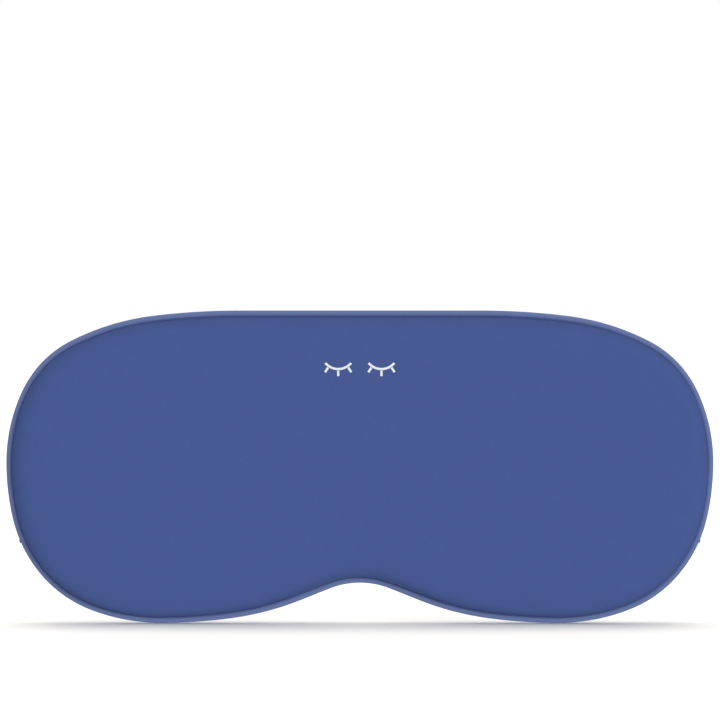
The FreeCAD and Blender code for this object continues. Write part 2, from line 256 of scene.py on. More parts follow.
def panel_surface(seam, face, inset_at_seam, radius, bulge):
    """One side of the pad: rings from the seam over its rounded edge, then a patch of squares."""
    line, normal, _ = resampled(EDGE_LINE, AROUND)
    ends = np.abs(normal[:, 0]) ** 4
    power = 2 / (SQUARENESS - END_ROUNDING * ends)
    rings = []
    for degrees in ROUND_STEPS:
        angle = math.radians(degrees)
        inset = inset_at_seam + radius * (1 - max(math.cos(angle), 0) ** power)
        inset = inset - bulge * ends * (1 - degrees / 90) * smooth(0, 12, degrees)
        depth = seam + (face - seam) * math.sin(angle) ** power
        place = line + normal * inset[:, None]
        rings.append(np.stack([place[:, 0], np.full(AROUND, depth), place[:, 1]], axis=1))
    for extra in FACE_STEPS:
        place = line + normal * (inset_at_seam + radius + extra)
        rings.append(np.stack([place[:, 0], np.full(AROUND, face), place[:, 1]], axis=1))
    points = [p for ring in rings for p in ring]
    faces = []
    for ring in range(len(rings) - 1):
        faces += band(ring * AROUND, (ring + 1) * AROUND, AROUND)
    inner = (len(rings) - 1) * AROUND
    half, short = LONG_SIDE // 2, AROUND // 2 - LONG_SIDE
    top = [inner + step % AROUND for step in range(-half, half + 1)]
    right = [inner + half + step for step in range(short + 1)]
    bottom = [inner + AROUND - half - short - step for step in range(LONG_SIDE + 1)]
    left = [inner + AROUND - half - step for step in range(short + 1)]
    grid = np.zeros((short + 1, LONG_SIDE + 1), int)
    grid[0], grid[-1], grid[:, 0], grid[:, -1] = top, bottom, left, right
    corner = [points[grid[r, c]] for r in (0, -1) for c in (0, -1)]
    for row in range(1, short):
        v = row / short
        for column in range(1, LONG_SIDE):
            u = column / LONG_SIDE
            across = (1 - v) * points[grid[0, column]] + v * points[grid[-1, column]]
            down = (1 - u) * points[grid[row, 0]] + u * points[grid[row, -1]]
            both = (1 - v) * ((1 - u) * corner[0] + u * corner[1])
            both = both + v * ((1 - u) * corner[2] + u * corner[3])
            grid[row, column] = len(points)
            points.append(across + down - both)
    for row in range(short):
        for column in range(LONG_SIDE):
            a, b = grid[row, column], grid[row, column + 1]
            c, d = grid[row + 1, column + 1], grid[row + 1, column]
            faces.append(tuple(int(i) for i in (a, b, c, d)))
    return np.array(points), faces


def crowned(points, face, height, reach):
    """Lifts a panel's face towards its middle."""
    outward_y = 1 if face > SEAM_Y else -1
    lifted = points.copy()
    for place, (x, y, z) in enumerate(points):
        if abs(y - face) < 1e-6:
            lifted[place, 1] += outward_y * height * smooth(5, reach, from_edge(x, z))
    return lifted


def puckered(points, seed, amount=0.07):
    """Shallow gathers that the sewing leaves beside the seam."""
    draw = np.random.default_rng(seed)
    waves = [(draw.uniform(5.5, 13.0), draw.uniform(0, 6.28), draw.uniform(0.5, 1)) for _ in range(6)]
    moved = points.copy()
    for place, (x, y, z) in enumerate(points):
        distance = from_edge(x, z)
        if distance > 22:
            continue
        angle = math.atan2(z, x) * 75
        ripple = sum(size * math.sin(angle * 6.28 / pitch + start) for pitch, start, size in waves)
        fade = math.exp(-((distance - 5) / 5.5) ** 2) * smooth(PANEL_INSET, 5, distance)
        moved[place, 1] += amount * fade * ripple / 2.5
    return moved


def swollen(front, front_faces, back, back_faces):
    """Fills the closed pad with pressure, held at its seam, and returns how each point moves."""
    count = len(front)
    faces = list(front_faces) + [tuple(count + i for i in reversed(f)) for f in back_faces]
    for step in range(AROUND):
        after = (step + 1) % AROUND
        faces.append((after, step, count + step, count + after))
    start = np.vstack([front, back])
    pad = mesh_object("pad_filling", start, faces)
    outward(pad)
    held = pad.vertex_groups.new(name="seam")
    held.add(list(range(AROUND)) + list(range(count, count + AROUND)), 1.0, "REPLACE")
    cloth = pad.modifiers.new("Cloth", "CLOTH")
    cloth.settings.quality = 4
    cloth.settings.use_pressure = True
    cloth.settings.uniform_pressure_force = FILL_PRESSURE
    cloth.settings.effector_weights.gravity = 0
    cloth.settings.vertex_group_mass = held.name
    cloth.collision_settings.use_collision = False
    scene = bpy.context.scene
    scene.frame_start, scene.frame_end = 1, FILL_FRAMES
    for number in range(1, FILL_FRAMES + 1):
        scene.frame_set(number)
    graph = bpy.context.evaluated_depsgraph_get()
    shape = pad.evaluated_get(graph).data
    moved = np.empty(len(shape.vertices) * 3)
    shape.vertices.foreach_get("co", moved)
    moved = moved.reshape(-1, 3) / MM - start
    scene.frame_set(1)
    bpy.data.objects.remove(pad)
    return moved[:count], moved[count:]


def limited(movement, most):
    """The same movement, never further than a stated distance."""
    length = np.linalg.norm(movement, axis=1)[:, None]
    return movement * most / (length + most)


def sewn_down(points):
    """The back cloth sits a little lower where the strap's tabs are sewn to it."""
    moved = points.copy()
    for side in ("left", "right"):
        low, high = millimetre_box(f"{side}_strap_tab")
        outside = np.maximum(np.maximum(low - points, points - high), 0)
        apart = np.hypot(outside[:, 0], outside[:, 2])
        inside = smooth(5, 9, np.array([from_edge(x, z) for x, _, z in points]))
        moved[:, 1] -= 0.3 * np.exp(-((apart / 3.5) ** 2)) * inside
    return moved


def panel(name, points, faces, side):
    piece = mesh_object(name, points, faces)
    average = sum(f.normal.y * f.area for f in piece.data.polygons)
    if average * side < 0:
        piece.data.flip_normals()
    subdivide(piece)
    wall = piece.modifiers.new("Cloth thickness", "SOLIDIFY")
    wall.thickness, wall.offset = PANEL_CLOTH * MM, -1
    return finished(piece, sharp=50)


def pad_panels():
    front, front_faces = panel_surface(SEAM_Y - MEETING, FRONT_FACE, SHOULDER, FRONT_ROUND, SIDE_BULGE)
    back, back_faces = panel_surface(SEAM_Y + MEETING, BACK_FACE, SHOULDER, BACK_ROUND, SIDE_BULGE / 2)
    front = puckered(crowned(front, FRONT_FACE, 0.3, 50), 11)
    back = puckered(crowned(back, BACK_FACE, 0.2, 45), 12)
    front_move, back_move = swollen(front, front_faces, back, back_faces)
    front = front + limited(front_move, FRONT_SWELL)
    back = back + limited(back_move, BACK_SWELL)
    back = sewn_down(back)
    return panel("pad_front", front, front_faces, -1), panel("pad_back", back, back_faces, 1)


def surface_tree(piece):
    graph = bpy.context.evaluated_depsgraph_get()
    return BVHTree.FromObject(piece, graph)


def height_on(tree, x, z, side):
    """Y of the outer face of a panel at (x, z), in millimetres; side is -1 in front."""
    hit = tree.ray_cast(Vector((x * MM, side * 0.1, z * MM)), Vector((0, -side, 0)))
    return hit[0].y / MM if hit[0] else (FRONT_FACE if side < 0 else BACK_FACE)


# ----- piping

FLANGE = 5.5
PIPING_STEPS = 560


def piping():
    """Bias cloth round a cord: a round edge with a flat seam allowance inside the pad."""
    line, normal, length = resampled(EDGE_LINE, PIPING_STEPS)
    inner = PANEL_INSET + FLANGE
    section = []
    for step in range(17):
        angle = math.radians(25 + (360 - 50) * step / 16)
        section.append((PIPING_HALF_WIDTH * (1 + math.cos(angle)), PIPING_RADIUS * math.sin(angle)))
    section = [(inner, SEAM_CLOTH * 0.9), (PANEL_INSET + 1.5, SEAM_CLOTH * 0.9)] + section
    section += [(PANEL_INSET + 1.5, -SEAM_CLOTH * 0.9), (inner, -SEAM_CLOTH * 0.9)]
    run = [0]
    for (a, b), (c, d) in zip(section, section[1:]):
        run.append(run[-1] + math.hypot(c - a, d - b))
    around = len(section)
    draw = np.random.default_rng(5)
    waves = [(int(n), draw.uniform(0, 6.28)) for n in draw.integers(20, 160, 9)]
    points, faces, uv = [], [], []
    for step in range(PIPING_STEPS):
        turn = 2 * math.pi * step / PIPING_STEPS
        uneven = 0.02 * sum(math.sin(n * turn + start) for n, start in waves) / 3
        for inset, depth in section:
            grown = 1 + (uneven if inset < PANEL_INSET else 0)
            x, z = line[step] + normal[step] * inset
            points.append((x, SEAM_Y + depth * grown, z))
    for step in range(PIPING_STEPS):
        after = (step + 1) % PIPING_STEPS
        u0, u1 = length * step / PIPING_STEPS, length * (step + 1) / PIPING_STEPS
        faces += band(step * around, after * around, around)
        uv += [uv_square(u0, u1, *ends) for ends in zip(run, run[1:] + [run[-1] + 0.7])]
    return outward(mesh_object("piping", points, faces, uv))


# ----- strap

RIBS = 24
FOLD_SLANT = 0.55  # the fold stands out more at its lower corner
RIB_POINTS = 4
END_ROUND = 6.0  # corners of the loose end


def strap_section(half, thick):
    """The elastic's cross-section, ribbed on both faces, as (z, offset)."""
    count = RIBS * RIB_POINTS
    front, back = [], []
    for step in range(count + 1):
        z = -half + 2 * half * step / count
        rib = math.cos(2 * math.pi * step / RIB_POINTS)
        edge = min(half - abs(z), 0.6) / 0.6
        body = 0.45 + 0.55 * math.sqrt(max(1 - (1 - edge) ** 2, 0))
        offset = thick / 2 * body * (0.92 - 0.08 * rib)
        front.append((z, -offset))
        back.append((z, offset))
    return front + back[::-1]


def bend_path(runs):
    """(x, y, normal x, normal y) along straight runs and half-turns, with the elastic's slack."""
    stations = []
    for kind, *facts in runs:
        if kind == "run":
            x0, x1, y, steps, way = facts
            for step in range(steps + 1):
                part = step / steps
                stations.append((x0 + (x1 - x0) * part, y, 0.0, way))
        else:
            x, y, radius, way = facts
            for step in range(1, 12):
                angle = math.radians(-90 + 180 * step / 12)
                reach = radius * (1.08 - 0.08 * abs(math.sin(angle)))
                out, up = way * math.cos(angle), math.sin(angle)
                stations.append((x + reach * out, y + radius * up, -out, -up))
    return stations


def strap_piece(name, side, runs, half, thick, round_end=0.0):
    """A ribbed length of elastic that follows runs; side mirrors it to the left."""
    stations = bend_path(runs)
    section = strap_section(half, thick)
    around = len(section)
    distance = [0.0]
    for (x0, y0, *_), (x1, y1, *_) in zip(stations, stations[1:]):
        distance.append(distance[-1] + math.hypot(x1 - x0, y1 - y0))
    total = distance[-1]
    points, faces, uv = [], [], []
    for (x, y, nx, ny), run in zip(stations, distance):
        left_over = total - run
        narrow = 0.0
        if round_end and left_over < round_end:
            narrow = round_end - math.sqrt(max(round_end**2 - (round_end - left_over) ** 2, 0))
        width = half - narrow
        for z, offset in section:
            if abs(z) > width:
                z, offset = math.copysign(width + 0.02 * (abs(z) - width), z), offset * 0.5
            slant = FOLD_SLANT * -z / half * abs(nx) ** 1.5
            ripple = 0.07 * (abs(z) / half) ** 4 * math.sin(run * 0.37 + (1.7 if z > 0 else 0) + side)
            points.append((side * (x + nx * offset + slant), y + ny * offset + ripple * abs(ny), z))
    heights = [z for z, _ in section]
    for step in range(len(stations) - 1):
        faces += band(step * around, (step + 1) * around, around)
        ends = zip(heights, heights[1:] + heights[:1])
        uv += [uv_square(distance[step], distance[step + 1], v0, v1) for v0, v1 in ends]
    count = len(section) // 2
    for station in (0, len(stations) - 1):
        base = station * around
        for place in range(count - 1):
            a, b = base + place, base + place + 1
            c, d = base + around - 2 - place, base + around - 1 - place
            faces.append((a, b, c, d))
            uv.append([(distance[station] * MM, section[place][0] * MM)] * 4)
    piece = outward(mesh_object(name, points, faces, uv))
    piece.data.set_sharp_from_angle(angle=math.radians(60))
    return piece


def strap_half(side_name):
    """One side's tab, near length and far length, as two bent pieces blended over the folds."""
    side = 1 if side_name == "right" else -1
    tab, near, far = (millimetre_box(f"{side_name}_strap_{part}") for part in ("tab", "near", "far"))
    levels = [(low[1] + high[1]) / 2 for low, high in (tab, near, far)]
    half, thick = (near[1][2] - near[0][2]) / 2, near[1][1] - near[0][1]
    turn, fold = sorted(abs(corner[0]) for corner in near)
    meet = (fold + turn) / 2
    tab_end, far_end = min(abs(corner[0]) for corner in tab), max(abs(corner[0]) for corner in far)
    side_radius, middle_radius = (levels[1] - levels[0]) / 2, (levels[2] - levels[1]) / 2
    outer_runs = [
        ("run", tab_end, fold, levels[0], 10, 1.0),
        ("bend", fold, levels[0] + side_radius, side_radius, 1),
        ("run", fold, meet, levels[1], 22, -1.0),
    ]
    inner_runs = [
        ("run", meet, turn, levels[1], 22, 1.0),
        ("bend", turn, levels[1] + middle_radius, middle_radius, -1),
        ("run", turn, far_end - END_ROUND, levels[2], 36, -1.0),
        ("run", far_end - END_ROUND + 0.4, far_end, levels[2], 12, -1.0),
    ]
    outer = strap_piece(f"{side_name}_strap_outer", side, outer_runs, half, thick)
    inner = strap_piece(f"{side_name}_strap_inner", side, inner_runs, half, thick, round_end=END_ROUND)
    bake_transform(outer)
    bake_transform(inner)
    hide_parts(f"{side_name}_strap_tab", f"{side_name}_strap_near")
    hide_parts(f"{side_name}_strap_far")
    return outer, inner


# ----- node trees


class Graph:
    """Adds nodes to a tree; a value given for an input is a number, a colour or another output."""

    def __init__(self, tree):
        self.tree = tree

    def add(self, kind, inputs=None, **settings):
        node = self.tree.nodes.new(kind)
        for name, value in settings.items():
            setattr(node, name, value)
        for name, value in (inputs or {}).items():
            socket = node.inputs[name]
            if isinstance(value, bpy.types.NodeSocket):
                self.tree.links.new(value, socket)
            else:
                socket.default_value = value
        return node

    def math(self, operation, first, second=0.0):
        return self.add("ShaderNodeMath", {0: first, 1: second}, operation=operation).outputs[0]

    def geometry(self, kind, inputs=None, **settings):
        """The first output of a new geometry node."""
        return self.add("GeometryNode" + kind, inputs, **settings).outputs[0]

    def vector(self, **parts):
        return self.add("ShaderNodeCombineXYZ", parts).outputs[0]

    def times(self, first, second):
        return self.math("MULTIPLY", first, second)

    def plus(self, first, second):
        return self.math("ADD", first, second)

    def weighted(self, first, share, second, other):
        return self.plus(self.times(first, share), self.times(second, other))


# ----- finishes

NO_TURN = (0.0, 0.0, 0.0)


def slot_colour(name):
    """The record's colour for a finish, linear."""
    for finish in frame["record"]["materials"]:
        if finish["slot"] == name:
            return list(finish["base_color"])[:3] + [1.0]
    raise KeyError(name)


def blended(colour, factors):
    return [min(c * f, 1.0) for c, f in zip(colour, factors)] + [1.0]


def shade(colour, factor):
    return blended(colour, [factor] * 3)


class Finish(Graph):
    """A material's nodes, laid out in one set of coordinates, with even values on its shader."""

    def __init__(self, name, roughness, specular=0.3, sheen=0.0, sheen_roughness=0.5, sheen_tint=None, coat=0.0,
                 source="Object", turn=NO_TURN):
        self.material = bpy.data.materials.new(name)
        self.material.use_nodes = True
        super().__init__(self.material.node_tree)
        self.shader = self.tree.nodes["Principled BSDF"]
        values = {"Roughness": roughness, "Specular IOR Level": specular, "Coat Weight": coat}
        values |= {"Sheen Weight": sheen, "Sheen Roughness": sheen_roughness}
        if sheen_tint:
            values["Sheen Tint"] = sheen_tint
        for title, value in values.items():
            self.shader.inputs[title].default_value = value
        place = self.add("ShaderNodeTexCoord").outputs[source]
        self.place = self.add("ShaderNodeMapping", {"Vector": place, "Rotation": turn}).outputs[0]

    def threads(self, pitch, axis, detail=0.0):
        """Even ridges across one axis, 0 to 1, one every pitch metres."""
        inputs = {"Vector": self.place, "Scale": 2 * math.pi / 20 / pitch, "Distortion": detail}
        inputs |= {"Detail": 2.0, "Detail Scale": 1.5}
        node = self.add("ShaderNodeTexWave", inputs, bands_direction=axis, wave_profile="SIN")
        return node.outputs["Fac"]

    def noise(self, size, detail=3.0, roughness=0.6):
        """Soft random variation about size metres across, 0 to 1."""
        inputs = {"Vector": self.place, "Scale": 1 / size, "Detail": detail, "Roughness": roughness}
        return self.add("ShaderNodeTexNoise", inputs).outputs["Fac"]

    def tint(self, dark, light, factor):
        """Colour between dark and light by factor."""
        mix = self.add("ShaderNodeMix", {0: factor, 6: dark, 7: light}, data_type="RGBA")
        self.tree.links.new(mix.outputs[2], self.shader.inputs["Base Color"])

    def shades(self, colour, dark, light, factor):
        self.tint(shade(colour, dark), shade(colour, light), factor)

    def bump(self, height, distance, strength):
        node = self.add("ShaderNodeBump", {"Height": height, "Distance": distance, "Strength": strength})
        self.tree.links.new(node.outputs[0], self.shader.inputs["Normal"])

    def roughen(self, factor, low, high):
        spread = self.add("ShaderNodeMapRange", {"Value": factor, "To Min": low, "To Max": high})
        self.tree.links.new(spread.outputs[0], self.shader.inputs["Roughness"])


def woven(name, colour, pitch, source="Object", axes=("X", "Z"), turn=NO_TURN, depth=0.00005, contrast=0.05,
          mottle=0.03, roughness=0.85, specular=0.15, sheen=0.03):
    """Cloth of crossing threads, with slight unevenness between yarns and soft mottling."""
    cloth = Finish(name, roughness, specular, sheen, 0.45, shade(colour, 1.6), source=source, turn=turn)
    pitches = pitch if isinstance(pitch, tuple) else (pitch, pitch)
    over, under = (cloth.threads(apart, axis, 0.4) for apart, axis in zip(pitches, axes))
    weave = cloth.weighted(cloth.plus(over, under), 0.25, cloth.times(over, under), 0.5)
    uneven = cloth.noise(MOTTLE_SIZE)
    broad = cloth.noise(MOTTLE_SIZE * 12, 2.0)
    tone = cloth.weighted(weave, contrast * 2, uneven, mottle * 2)
    tone = cloth.plus(tone, cloth.times(broad, mottle))
    total = 2 * contrast + 3 * mottle
    cloth.shades(colour, 1 - total / 2, 1 + total / 2, cloth.math("DIVIDE", tone, total))
    cloth.bump(cloth.plus(weave, cloth.times(uneven, 0.4)), depth, 0.35)
    cloth.roughen(uneven, roughness - 0.06, roughness + 0.08)
    return cloth.material


def ribbed_elastic(name, colour, rib):
    """Knitted elastic: lengthwise ribs from the mesh, fine picks across them and rubber glints."""
    cloth = Finish(name, 0.78, 0.28, 0.22, 0.4, shade(colour, 2.2), source="UV")
    picks = cloth.threads(0.00075, "X", 0.5)
    ribs = cloth.threads(rib, "Y", 0.1)
    loops = cloth.threads(rib / 4, "Y", 0.6)
    fibre = cloth.noise(0.0006)
    knit = cloth.weighted(picks, 0.55, loops, 0.3)
    fine = cloth.weighted(knit, 0.45, fibre, 0.25)
    cloth.shades(colour, 0.62, 1.45, cloth.plus(cloth.times(ribs, 0.35), fine))
    cloth.bump(cloth.plus(knit, cloth.times(fibre, 0.3)), 0.00012, 0.5)
    cloth.roughen(fibre, 0.7, 0.88)
    return cloth.material


def fibrous(name, colour, size, depth, strength, spread=0.2, sheen=0.2):
    """Matted or spun fibres with no weave."""
    fibres = Finish(name, 0.95, 0.1, sheen, 0.5, shade(colour, 1.3))
    fine = fibres.noise(size, 5.0, 0.7)
    broad = fibres.noise(size * 9, 2.0)
    fibres.shades(colour, 1 - spread, 1 + spread, fibres.weighted(fine, 0.6, broad, 0.4))
    fibres.bump(fine, depth, strength)
    fibres.roughen(fine, 0.85, 1.0)
    return fibres.material


def beads(name, colour):
    """A mass of small round glass beads, with painted shade darkening the gaps between them."""
    glass = Finish(name, 0.18, 0.5, coat=0.2)
    cells = glass.add("ShaderNodeTexVoronoi", {"Vector": glass.place, "Scale": 1 / 0.0009, "Randomness": 0.8})
    height = glass.math("SUBTRACT", 0.6, cells.outputs["Distance"])
    # painted shade and light: each bead's colour is darker towards the gaps between beads and lighter in its middle
    glass.shades(colour, 0.35, 1.1, glass.times(height, 1.6))
    glass.bump(height, 0.0004, 0.8)
    glass.roughen(height, 0.3, 0.12)
    return glass.material


def twisted(name, colour, pitch):
    """Spun cord or sewing thread, with its plies on the slant."""
    spun = Finish(name, 0.7, 0.3, 0.15, 0.4, shade(colour, 1.5), turn=(0.6, 0.5, 0.8))
    plies = spun.threads(pitch, "X", 0.8)
    fibre = spun.noise(pitch * 0.6)
    spun.shades(colour, 0.75, 1.25, spun.weighted(plies, 0.7, fibre, 0.3))
    spun.bump(plies, pitch * 0.25, 0.6)
    spun.roughen(fibre, 0.6, 0.8)
    return spun.material


def moulded(name, colour):
    """Nylon monofilament, slightly shiny."""
    nylon = Finish(name, 0.42, 0.5)
    cloud = nylon.noise(0.0009, 4.0)
    nylon.shades(colour, 0.8, 1.25, cloud)
    nylon.bump(cloud, 0.00003, 0.3)
    nylon.roughen(cloud, 0.34, 0.55)
    return nylon.material


def screen_print(name, colour):
    """Thick matte ink that takes a little of the weave below it."""
    ink = Finish(name, 0.62, 0.35)
    over, under = (ink.threads(COVER_PITCH, axis, 0.4) for axis in "XZ")
    weave = ink.times(over, under)
    cloud = ink.noise(0.0012)
    ink.shades(colour, 0.94, 1.0, ink.weighted(weave, 0.5, cloud, 0.5))
    ink.bump(weave, 0.00003, 0.25)
    ink.roughen(cloud, 0.55, 0.7)
    return ink.material


def finishes():
    colour = slot_colour
    cover = blended(colour("cover_cloth"), COVER_TINT)
    piped = blended(colour("piping_cloth"), PIPING_TINT)
    bias = {"source": "UV", "axes": ("X", "Y"), "turn": (0.0, 0.0, math.radians(45))}
    matte = {"specular": 0.1, "sheen": 0.0}
    satin = {"contrast": 0.04, "roughness": 0.45, "specular": 0.45, "sheen": 0.05, "depth": 0.00002}
    return {
        "cover": woven("cover_cloth", cover, COVER_PITCH, contrast=0.045, mottle=0.035, specular=0.08, sheen=0.0),
        "piping": woven("bias_piping", piped, 0.00046, contrast=0.06, mottle=0.02, **bias, **matte),
        "filler": twisted("filler_cord", colour("filler_cord"), 0.0006),
        "wadding": fibrous("wadding", colour("wadding"), 0.0011, 0.0003, 0.6, 0.06),
        "blackout": woven("blackout_cloth", colour("blackout_cloth"), 0.00035, roughness=0.7, sheen=0.05),
        "pouch": woven("pouch_cotton", colour("pouch_cloth"), 0.0006, contrast=0.06),
        "beads": beads("glass_beads", colour("glass_beads")),
        "elastic": ribbed_elastic("ribbed_elastic", colour("elastic"), 0.002),
        "hook": moulded("nylon_hooks", shade(colour("hook_tape"), 2.4)),
        "hook_base": woven("hook_tape_ground", colour("hook_tape"), 0.0007, contrast=0.1, roughness=0.6),
        "loop": fibrous("brushed_loops", colour("loop_tape"), 0.0004, 0.0001, 0.5, 0.25, sheen=0.5),
        "print": screen_print("white_print", blended(colour("white_print"), PRINT_TINT)),
        "label": woven("label_satin", colour("label_satin"), (0.00022, 0.0009), **satin),
        "thread": twisted("sewing_thread", shade(colour("elastic"), 2.6), 0.00022),
        "label_thread": twisted("label_thread", colour("cover_cloth"), 0.00022),
    }


# ----- repeated details


def geometry_tree(name, **inputs):
    """A modifier tree with named inputs, listed by kind, and the sockets that give their values."""
    tree = bpy.data.node_groups.new(name, "GeometryNodeTree")
    tree.is_modifier = True
    tree.interface.new_socket("Geometry", in_out="INPUT", socket_type="NodeSocketGeometry")
    for kind, titles in inputs.items():
        for title in titles:
            tree.interface.new_socket(title, in_out="INPUT", socket_type=f"NodeSocket{kind}")
    tree.interface.new_socket("Geometry", in_out="OUTPUT", socket_type="NodeSocketGeometry")
    graph = Graph(tree)
    return graph, graph.add("NodeGroupInput").outputs


def close_tree(graph, geometry, finish):
    """Ends a tree with real geometry that carries its finish."""
    real = graph.geometry("RealizeInstances", {"Geometry": geometry})
    smooth_faces = graph.geometry("SetShadeSmooth", {"Geometry": real})
    done = graph.geometry("SetMaterial", {"Geometry": smooth_faces, "Material": finish})
    graph.add("NodeGroupOutput", {"Geometry": done})
    return graph.tree


def random_number(graph, low, high, seed):
    inputs = {2: low, 3: high, "Seed": seed}
    return graph.add("FunctionNodeRandomValue", inputs, data_type="FLOAT").outputs[1]


def field(graph, given, across, along):
    """A flat grid of the tree's own size."""
    inputs = {"Size X": given["Across"], "Size Y": given["Along"], "Vertices X": across, "Vertices Y": along}
    return graph.geometry("MeshGrid", inputs)


def copies(graph, points, instance, rotation):
    inputs = {"Points": points, "Instance": instance, "Rotation": rotation}
    return graph.geometry("InstanceOnPoints", inputs)


def moved(graph, geometry, given):
    """Puts a field where the tree's inputs say."""
    inputs = {"Geometry": geometry, "Translation": given["Place"], "Rotation": given["Turn"]}
    return graph.geometry("Transform", inputs)


def grown(name, base, tree, values):
    """Runs a tree on a base mesh and returns the plain mesh piece that it makes."""
    piece = new_object(name, base)
    modifier = piece.modifiers.new(tree.name, "NODES")
    modifier.node_group = tree
    for item in tree.interface.items_tree:
        if item.in_out == "INPUT" and item.name in values:
            modifier[item.identifier] = values[item.name]
    return finished(piece)


def line_mesh(name, loops):
    """Edges through lists of points in millimetres; each list is (points, closed)."""
    points, edges = [], []
    for line, closed in loops:
        first = len(points)
        points += [tuple(np.array(p, float) * MM) for p in line]
        edges += [(first + i, first + i + 1) for i in range(len(line) - 1)]
        if closed:
            edges.append((len(points) - 1, first))
    mesh = bpy.data.meshes.new(name)
    mesh.from_pydata(points, edges, [])
    return mesh


def stitching_tree():
    """Rounded stitches laid end to end along edges, each slightly off line."""
    sizes = ("Spacing", "Stitch Length", "Thread Width", "Lean")
    graph, given = geometry_tree("Stitching", Float=sizes, Int=("Seed",), Material=("Thread",))
    curve = graph.geometry("MeshToCurve", {"Mesh": given["Geometry"]})
    stops = graph.geometry("ResampleCurve", {"Curve": curve, "Length": given["Spacing"]}, mode="LENGTH")
    ball = graph.geometry("MeshUVSphere", {"Segments": 8, "Rings": 6, "Radius": 0.5})
    width = given["Thread Width"]
    size = graph.vector(X=given["Stitch Length"], Y=width, Z=width)
    stitch = graph.geometry("Transform", {"Geometry": ball, "Scale": size})
    tangent = graph.geometry("InputTangent")
    along = graph.add("FunctionNodeAlignRotationToVector", {"Vector": tangent}, axis="X").outputs[0]
    low = graph.times(given["Lean"], -1.0)
    lean = random_number(graph, low, given["Lean"], given["Seed"])
    tilt = graph.add("FunctionNodeAxisAngleToRotation", {"Axis": (0.0, 1.0, 0.0), "Angle": lean}).outputs[0]
    both = {"Rotation": along, "Rotate By": tilt}
    turned = graph.add("FunctionNodeRotateRotation", both, rotation_space="GLOBAL").outputs[0]
    return close_tree(graph, copies(graph, stops, stitch, turned), given["Thread"])


def hooks_tree():
    """Rows of small curled hooks on a grid, alternate ones facing the other way."""
    sizes = ("Across", "Along", "Pitch", "Hook Height", "Filament")
    graph, given = geometry_tree("Hooks", Float=sizes, Int=("Seed",), Vector=("Place", "Turn"), Material=("Nylon",))
    counts = []
    for side in ("Across", "Along"):
        steps = graph.math("DIVIDE", given[side], given["Pitch"])
        counts.append(graph.math("FLOOR", graph.plus(steps, 1.0)))
    grid = field(graph, given, *counts)
    height = given["Hook Height"]
    over = graph.vector(X=graph.times(height, 0.15), Z=graph.times(height, 1.75))
    tip = graph.vector(X=graph.times(height, 0.8), Z=graph.times(height, 0.4))
    curl = {"Resolution": 7, "Start": (0.0, 0.0, 0.0), "Middle": over, "End": tip}
    bow = graph.geometry("CurveQuadraticBezier", curl)
    ring = graph.geometry("CurvePrimitiveCircle", {"Resolution": 5, "Radius": given["Filament"]})
    hook = graph.geometry("CurveToMesh", {"Curve": bow, "Profile Curve": ring, "Fill Caps": True})
    index = graph.geometry("InputIndex")
    other = graph.times(graph.math("MODULO", index, 2.0), math.pi)
    wobble = random_number(graph, -0.25, 0.25, given["Seed"])
    placed = copies(graph, grid, hook, graph.vector(Z=graph.plus(other, wobble)))
    return close_tree(graph, moved(graph, placed, given), given["Nylon"])


def loops_tree():
    """Brushed loops scattered over a rectangle."""
    sizes = ("Across", "Along", "Density", "Loop Radius", "Filament")
    graph, given = geometry_tree("Loops", Float=sizes, Int=("Seed",), Vector=("Place", "Turn"), Material=("Yarn",))
    scatter = {"Mesh": field(graph, given, 2, 2), "Density": given["Density"], "Seed": given["Seed"]}
    spots = graph.geometry("DistributePointsOnFaces", scatter)
    opening = {"Start Angle": math.radians(-60), "Sweep Angle": math.radians(300)}
    bow = graph.geometry("CurveArc", {"Resolution": 8, "Radius": given["Loop Radius"], **opening})
    ring = graph.geometry("CurvePrimitiveCircle", {"Resolution": 3, "Radius": given["Filament"]})
    loop = graph.geometry("CurveToMesh", {"Curve": bow, "Profile Curve": ring})
    upright = {"Geometry": loop, "Rotation": (math.pi / 2, 0.0, 0.0), "Scale": (1.0, 1.0, 0.8)}
    stood = graph.geometry("Transform", upright)
    spread = {0: (-0.7, -0.7, 0.0), 1: (0.7, 0.7, 6.28), "Seed": given["Seed"]}
    spin = graph.add("FunctionNodeRandomValue", spread, data_type="FLOAT_VECTOR").outputs[0]
    placed = copies(graph, spots, stood, spin)
    return close_tree(graph, moved(graph, placed, given), given["Yarn"])


def rectangle(x0, x1, z0, z1, y):
    return [(x0, y, z0), (x1, y, z0), (x1, y, z1), (x0, y, z1)]


def sewn(name, tree, loops, thread, body, spacing=2.6, stitch=2.2, width=0.32, seed=1):
    """A line of stitches as one piece."""
    values = {"Spacing": spacing * MM, "Stitch Length": stitch * MM, "Thread Width": width * MM}
    values |= {"Lean": 0.05, "Seed": seed, "Thread": thread}
    piece = grown(name, line_mesh(name, loops), tree, values)
    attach(piece, body)
    return piece


